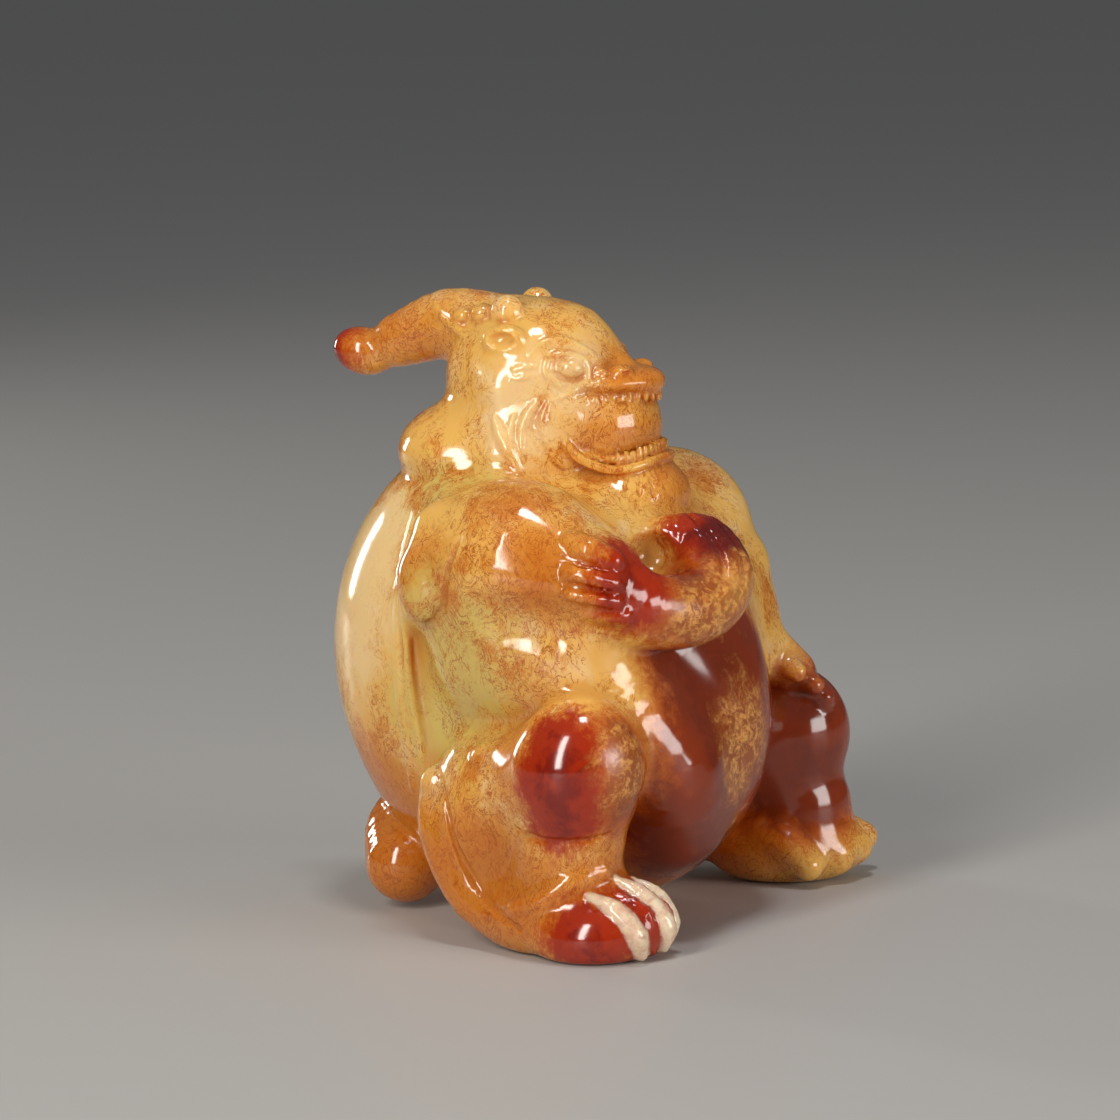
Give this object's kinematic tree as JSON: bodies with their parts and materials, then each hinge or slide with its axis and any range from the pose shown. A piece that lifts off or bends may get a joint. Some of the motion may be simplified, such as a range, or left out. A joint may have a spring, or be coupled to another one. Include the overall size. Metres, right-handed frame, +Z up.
{
  "type": "carved figurine",
  "caption": "Small jade carving of a seated bear with an open mouth and a swept-back horn, right paw raised to its chin and left paw on its knee; stands on a shelf or stand.",
  "frame": {"origin": "on the ground, under the middle of the carving's bounding box", "axes": "+Z up, -Y the way the bear faces, +X towards the bear's left side"},
  "size_m": [0.046, 0.0398, 0.0517],
  "materials": {
    "jade": "high polish, slightly translucent honey-coloured jade with russet skin"
  },
  "bodies": {
    "root": {"bear_carving": "jade"}
  },
  "joints": []
}
